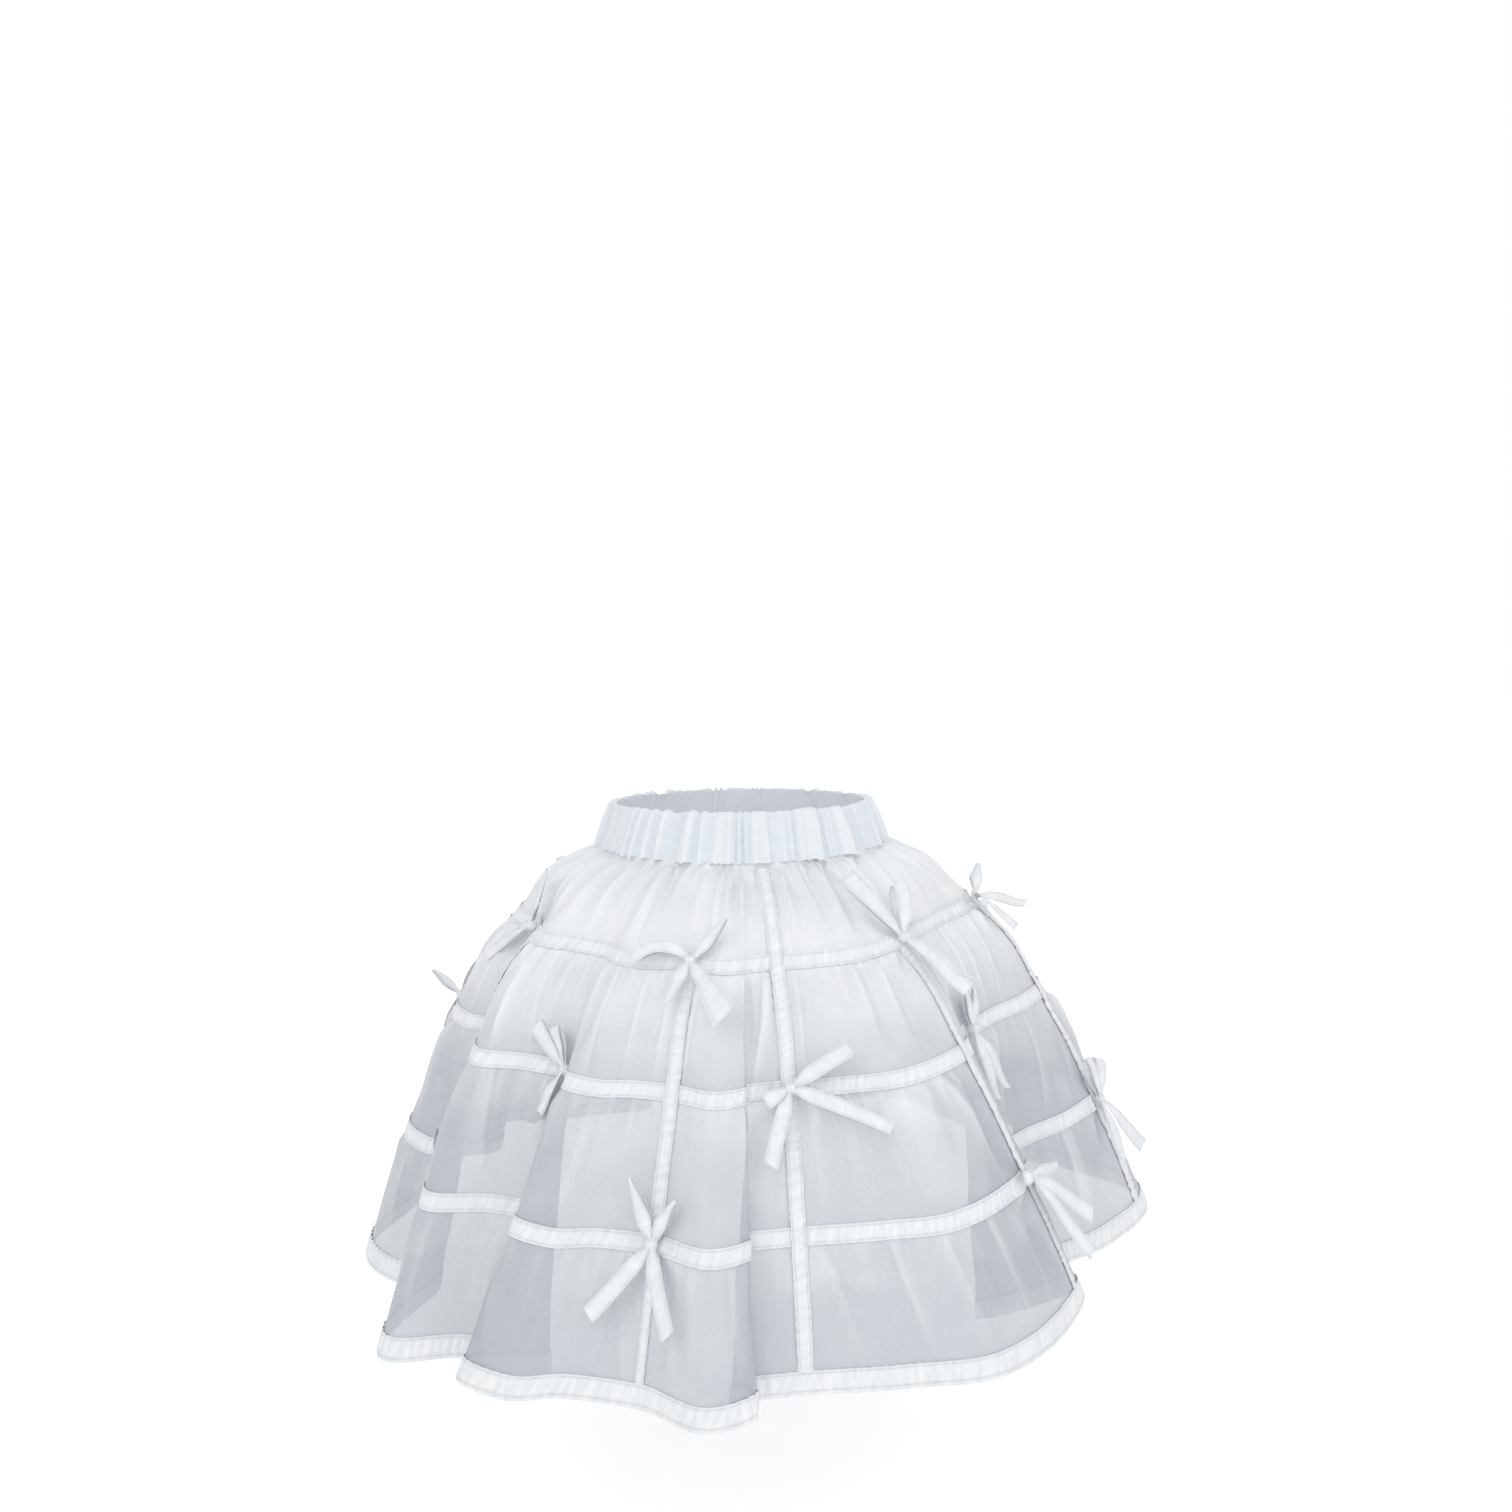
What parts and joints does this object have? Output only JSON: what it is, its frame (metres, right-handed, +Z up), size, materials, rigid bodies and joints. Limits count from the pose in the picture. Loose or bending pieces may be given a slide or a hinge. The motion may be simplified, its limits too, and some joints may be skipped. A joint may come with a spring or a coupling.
{
  "type": "crinoline skirt",
  "caption": "Short tiered crinoline skirt of sheer white organza with a cage of cotton tapes and tied bows.",
  "frame": {"origin": "centre of the waist opening, at the waistband's top edge", "axes": "+Z up along the wearer's body, front of the skirt faces -Y, +X to the right as seen from the front"},
  "size_m": [0.6822, 0.6604, 0.3684],
  "materials": {
    "organza": "sheer, crisp plain weave",
    "cotton_tape": "matt woven tape",
    "cotton_lawn": "matt plain weave, gathered",
    "elastic_webbing": "matt ribbed elastic"
  },
  "bodies": {
    "root": {"waistband_casing": "cotton_lawn", "waist_elastic": "elastic_webbing", "tier_1": "organza", "tier_2": "organza", "tier_3": "organza", "tier_4": "organza", "ring_tape_1": "cotton_tape", "ring_tape_2": "cotton_tape", "ring_tape_3": "cotton_tape", "hem_tape": "cotton_tape", "rib_tape_1": "cotton_tape", "rib_tape_2": "cotton_tape", "rib_tape_3": "cotton_tape", "rib_tape_4": "cotton_tape", "rib_tape_5": "cotton_tape", "rib_tape_6": "cotton_tape", "rib_tape_7": "cotton_tape", "rib_tape_8": "cotton_tape", "rib_tape_9": "cotton_tape", "rib_tape_10": "cotton_tape", "rib_tape_11": "cotton_tape", "rib_tape_12": "cotton_tape", "rib_tape_13": "cotton_tape", "rib_tape_14": "cotton_tape", "bow_rib1_ring1": "cotton_tape", "bow_rib1_ring3": "cotton_tape", "bow_rib2_ring2": "cotton_tape", "bow_rib3_ring1": "cotton_tape", "bow_rib3_ring3": "cotton_tape", "bow_rib4_ring2": "cotton_tape", "bow_rib5_ring1": "cotton_tape", "bow_rib5_ring3": "cotton_tape", "bow_rib6_ring2": "cotton_tape", "bow_rib7_ring1": "cotton_tape", "bow_rib7_ring3": "cotton_tape", "bow_rib8_ring2": "cotton_tape", "bow_rib9_ring1": "cotton_tape", "bow_rib9_ring3": "cotton_tape", "bow_rib10_ring2": "cotton_tape", "bow_rib11_ring1": "cotton_tape", "bow_rib11_ring3": "cotton_tape", "bow_rib12_ring2": "cotton_tape", "bow_rib13_ring1": "cotton_tape", "bow_rib13_ring3": "cotton_tape", "bow_rib14_ring2": "cotton_tape"}
  },
  "joints": []
}
